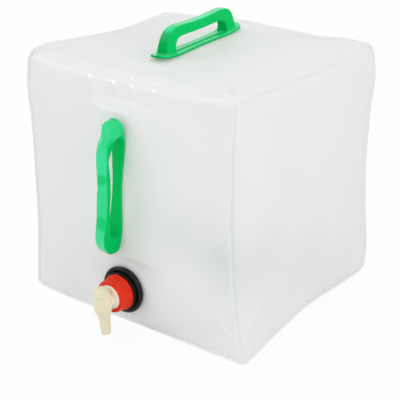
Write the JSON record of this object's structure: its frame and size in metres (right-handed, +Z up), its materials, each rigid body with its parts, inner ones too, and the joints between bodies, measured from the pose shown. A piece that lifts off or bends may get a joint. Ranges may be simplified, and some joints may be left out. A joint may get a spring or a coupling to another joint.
{
  "type": "collapsible water carrier",
  "caption": "Soft cube-shaped water carrier of welded translucent film, with moulded grips on its front and top, and a turning spigot tap low on the front.",
  "frame": {"origin": "on the floor, under the middle of the film cube, on the flat of its bottom wall", "axes": "+Z up; -Y is the front with the tap and the upright grip; +X is the wall on the right of that front"},
  "size_m": [0.2965, 0.3183, 0.3114],
  "materials": {
    "near_shell_front": "translucent frosted film",
    "near_shell_top": "translucent frosted film",
    "near_shell_right": "translucent frosted film",
    "far_shell_left": "translucent frosted film",
    "far_shell_back": "translucent frosted film",
    "far_shell_bottom": "translucent frosted film",
    "seam_margin": "translucent fused film",
    "front_grip": "smooth moulded",
    "top_grip": "smooth moulded",
    "neck_fitting": "smooth moulded",
    "screw_collar": "smooth moulded",
    "spigot": "smooth moulded",
    "spigot_cap": "smooth moulded",
    "outer_gasket": "matt",
    "inner_gasket": "matt",
    "neck_o_ring": "matt",
    "face_seal": "matt",
    "back_nut": "natural moulded",
    "port_disc": "natural moulded"
  },
  "bodies": {
    "bag": {"near_shell_front": "near_shell_front", "near_shell_top": "near_shell_top", "far_shell_back": "far_shell_back", "far_shell_bottom": "far_shell_bottom", "seam_margin": "seam_margin", "front_grip": "front_grip", "top_grip": "top_grip", "neck_fitting": "neck_fitting", "outer_gasket": "outer_gasket", "inner_gasket": "inner_gasket", "back_nut": "back_nut"},
    "right_wall": {"near_shell_right": "near_shell_right"},
    "left_wall": {"far_shell_left": "far_shell_left"},
    "tap_cartridge": {"port_disc": "port_disc", "neck_o_ring": "neck_o_ring", "face_seal": "face_seal"},
    "collar": {"screw_collar": "screw_collar"},
    "spigot": {"spigot": "spigot", "spigot_cap": "spigot_cap"}
  },
  "joints": [
    {"name": "right_wall_squeeze", "type": "slide", "parent": "bag", "child": "right_wall", "axis": [-1, 0, 0], "range_m": [0, 0.1], "deforming": ["near_shell_front", "near_shell_top", "far_shell_back", "far_shell_bottom", "seam_margin"]},
    {"name": "left_wall_squeeze", "type": "slide", "parent": "bag", "child": "left_wall", "axis": [1, 0, 0], "range_m": [0, 0.1]},
    {"name": "collar_advance", "type": "slide", "parent": "bag", "child": "tap_cartridge", "axis": [0, -1, 0], "range_m": [0, 0.0075]},
    {"name": "collar_turn", "type": "hinge", "parent": "tap_cartridge", "child": "collar", "pos_m": [0, -0.1452, 0.044], "axis": [0, -1, 0], "range_deg": [0, 900]},
    {"name": "spigot_turn", "type": "hinge", "parent": "tap_cartridge", "child": "spigot", "pos_m": [0, -0.1562, 0.044], "axis": [0, -1, 0], "range_deg": [-96.5, 83.5]}
  ],
  "couplings": [
    {"joint": "left_wall_squeeze", "follows": "right_wall_squeeze", "ratio": 1},
    {"joint": "collar_turn", "follows": "collar_advance", "rad_per_m": 2094.4}
  ]
}
